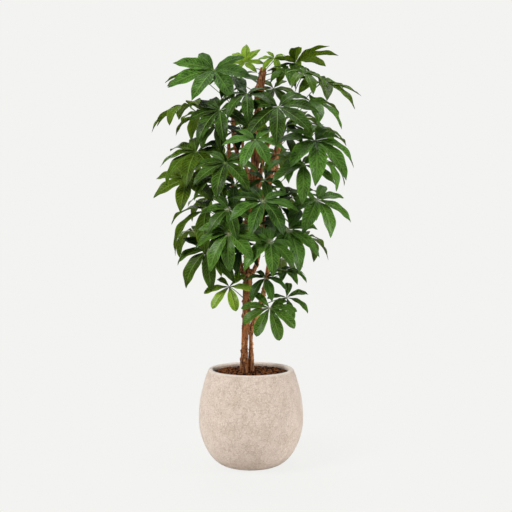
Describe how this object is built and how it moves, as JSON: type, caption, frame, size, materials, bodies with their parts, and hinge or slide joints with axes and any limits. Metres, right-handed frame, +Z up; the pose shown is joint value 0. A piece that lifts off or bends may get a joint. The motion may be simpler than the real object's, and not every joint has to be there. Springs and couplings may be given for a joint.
{
  "type": "potted money tree",
  "caption": "Indoor money tree with a forked trunk, tiers of drooping hand-shaped leaves and a round-bellied stone-look pot filled with soil.",
  "frame": {"origin": "middle of the pot's flat base, on the surface it stands on", "axes": "+Z up along the pot's axis; -Y is the side the tree is mostly seen from; +X to the right of that view"},
  "size_m": [0.7425, 0.6955, 1.5086],
  "materials": {
    "pot": "rough mottled stone-look",
    "soil": "loose crumbs, matte",
    "bark": "fibrous bark, matte",
    "leaf": "waxy, half gloss",
    "young_leaf": "waxy, half gloss"
  },
  "bodies": {
    "root": {"pot": "pot", "soil": "soil", "main_trunk": "bark", "side_trunk": "bark", "young_stem_01": "young_leaf", "young_stem_02": "young_leaf", "young_stem_03": "young_leaf", "young_stem_04": "young_leaf", "leafy_stem_01": "leaf", "leafy_stem_02": "leaf", "leafy_stem_03": "leaf", "leafy_stem_04": "leaf", "leafy_stem_05": "leaf", "leafy_stem_06": "leaf", "leafy_stem_07": "leaf", "leafy_stem_08": "leaf", "leafy_stem_09": "leaf", "leafy_stem_10": "leaf", "leafy_stem_11": "leaf", "leafy_stem_12": "leaf", "leafy_stem_13": "leaf", "leafy_stem_14": "leaf", "leafy_stem_15": "leaf", "leafy_stem_16": "leaf", "leafy_stem_17": "leaf", "leafy_stem_18": "leaf", "leafy_stem_19": "leaf", "leafy_stem_20": "leaf", "leafy_stem_21": "leaf", "leafy_stem_22": "leaf", "leafy_stem_23": "leaf", "leafy_stem_24": "leaf", "leafy_stem_25": "leaf", "leafy_stem_26": "leaf", "leafy_stem_27": "leaf", "leafy_stem_28": "leaf", "leafy_stem_29": "leaf", "leafy_stem_30": "leaf", "leafy_stem_31": "leaf", "leafy_stem_32": "leaf", "leafy_stem_33": "leaf", "leafy_stem_34": "leaf", "leafy_stem_35": "leaf", "leafy_stem_36": "leaf", "leafy_stem_37": "leaf", "leafy_stem_38": "leaf", "leafy_stem_39": "leaf", "leafy_stem_40": "leaf", "leafy_stem_41": "leaf", "leafy_stem_42": "leaf", "leafy_stem_43": "leaf", "leafy_stem_44": "leaf", "leafy_stem_45": "leaf", "leafy_stem_46": "leaf", "leafy_stem_47": "leaf", "leafy_stem_48": "leaf", "leafy_stem_49": "leaf", "leafy_stem_50": "leaf", "leafy_stem_51": "leaf", "leafy_stem_52": "leaf"}
  },
  "joints": []
}
